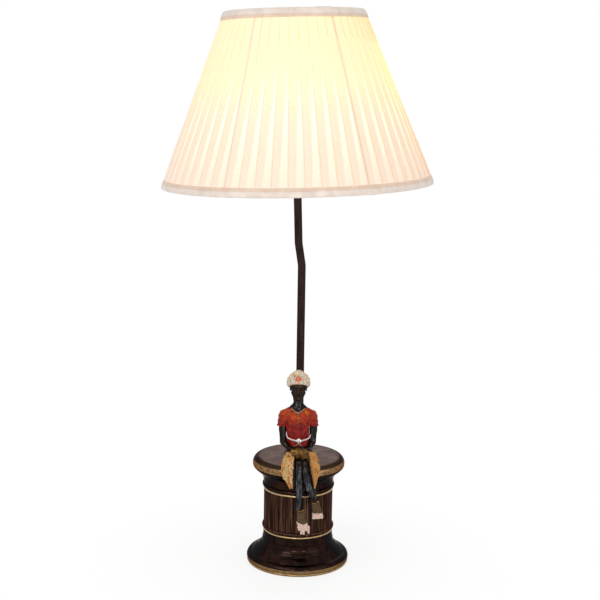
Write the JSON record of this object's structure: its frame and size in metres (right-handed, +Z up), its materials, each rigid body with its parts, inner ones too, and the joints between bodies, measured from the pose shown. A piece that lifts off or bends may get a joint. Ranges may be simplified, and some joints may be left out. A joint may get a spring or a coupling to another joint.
{
  "type": "table lamp",
  "caption": "Table lamp with a turned bronze pedestal, a small painted seated figure, a slightly bent stem and a pleated cone shade.",
  "frame": {"origin": "centre of the felt under the foot, on the table", "axes": "+Z up along the column, the figure faces -Y, +X is on the right of someone who faces the figure"},
  "size_m": [0.3498, 0.35, 0.7284],
  "materials": {
    "felt": "green-black felt",
    "gilt_brass": "worn gilt",
    "dark_bronze": "polished dark red-brown patina",
    "plate_bronze": "polished plum-brown patina",
    "stem_bronze": "dark brown patina",
    "iron": "rough casting",
    "steel": "zinc plated",
    "black_plastic": "moulded",
    "phenolic": "moulded phenolic",
    "lamp_brass": "satin lacquered",
    "bulb_glass": "frosted, lit",
    "bulb_metal": "drawn",
    "shade_cloth": "pleated, lit from inside",
    "trim_cloth": "ribbed binding",
    "skin_bronze": "dark bronze with a greenish sheen",
    "turban_enamel": "cold-painted, mottled",
    "tunic_enamel": "cold-painted red and gold-brown",
    "belt_enamel": "cold-painted pale pink",
    "silvered": "faceted",
    "cloth_enamel": "cold-painted ochre",
    "shoe_enamel": "cold-painted white and brown",
    "red_jewel": "glossy enamel"
  },
  "bodies": {
    "lamp_body": {"felt_pad": "felt", "foot_rim": "gilt_brass", "base_foot": "dark_bronze", "ballast": "iron", "base_nut": "steel", "base_washer": "steel", "cable_gland": "black_plastic", "lower_ring": "gilt_brass", "column_drum": "dark_bronze", "upper_ring": "gilt_brass", "capital": "dark_bronze", "capital_band": "gilt_brass", "top_plate": "plate_bronze", "stem": "stem_bronze", "stem_flange": "stem_bronze", "figure_turban": "turban_enamel", "turban_jewel": "red_jewel", "figure_head": "skin_bronze", "figure_tunic": "tunic_enamel", "figure_arm_left": "skin_bronze", "figure_arm_right": "skin_bronze", "figure_belt": "belt_enamel", "belt_buckle": "silvered", "figure_lap": "cloth_enamel", "cloth_panel_left": "cloth_enamel", "cloth_panel_right": "cloth_enamel", "figure_leg_left": "skin_bronze", "figure_leg_right": "skin_bronze", "anklets": "gilt_brass", "figure_shoe_left": "shoe_enamel", "figure_shoe_right": "shoe_enamel", "figure_screw": "steel", "saddle_nut": "steel", "harp_saddle": "lamp_brass", "holder_cap": "lamp_brass", "holder_shell": "lamp_brass", "holder_core": "phenolic", "screw_shell": "lamp_brass", "centre_contact": "lamp_brass", "harp": "lamp_brass"},
    "shade": {"shade_bottom_ring": "steel", "shade_top_ring": "steel", "shade_ribs": "steel", "spider": "steel", "spider_hub": "steel", "bottom_trim": "trim_cloth", "top_trim": "trim_cloth", "shade_gore_1": "shade_cloth", "shade_gore_2": "shade_cloth", "shade_gore_3": "shade_cloth", "shade_gore_4": "shade_cloth", "shade_gore_5": "shade_cloth", "shade_gore_6": "shade_cloth"},
    "finial": {"finial": "lamp_brass"},
    "bulb": {"bulb_glass": "bulb_glass", "bulb_cap": "bulb_metal"},
    "switch_knob": {"switch_knob": "black_plastic"},
    "ferrule_left": {"harp_ferrule_left": "lamp_brass"},
    "ferrule_right": {"harp_ferrule_right": "lamp_brass"}
  },
  "joints": [
    {"name": "shade_turn", "type": "hinge", "parent": "lamp_body", "child": "shade", "pos_m": [-0.01436, 0, 0.71063], "axis": [-0.0349, 0, 0.9994], "continuous": true},
    {"name": "finial_turn", "type": "hinge", "parent": "lamp_body", "child": "finial", "pos_m": [-0.01442, 0, 0.71233], "axis": [-0.0349, 0, 0.9994], "continuous": true},
    {"name": "bulb_turn", "type": "hinge", "parent": "lamp_body", "child": "bulb", "pos_m": [-0.00942, 0, 0.56902], "axis": [-0.0349, 0, 0.9994], "continuous": true},
    {"name": "switch_turn", "type": "hinge", "parent": "lamp_body", "child": "switch_knob", "pos_m": [-0.00914, -0.025, 0.56112], "axis": [0, -1, 0], "continuous": true},
    {"name": "ferrule_left_slide", "type": "slide", "parent": "lamp_body", "child": "ferrule_left", "axis": [-0.0349, 0, 0.9994], "range_m": [0, 0.012]},
    {"name": "ferrule_right_slide", "type": "slide", "parent": "lamp_body", "child": "ferrule_right", "axis": [-0.0349, 0, 0.9994], "range_m": [0, 0.012]}
  ]
}
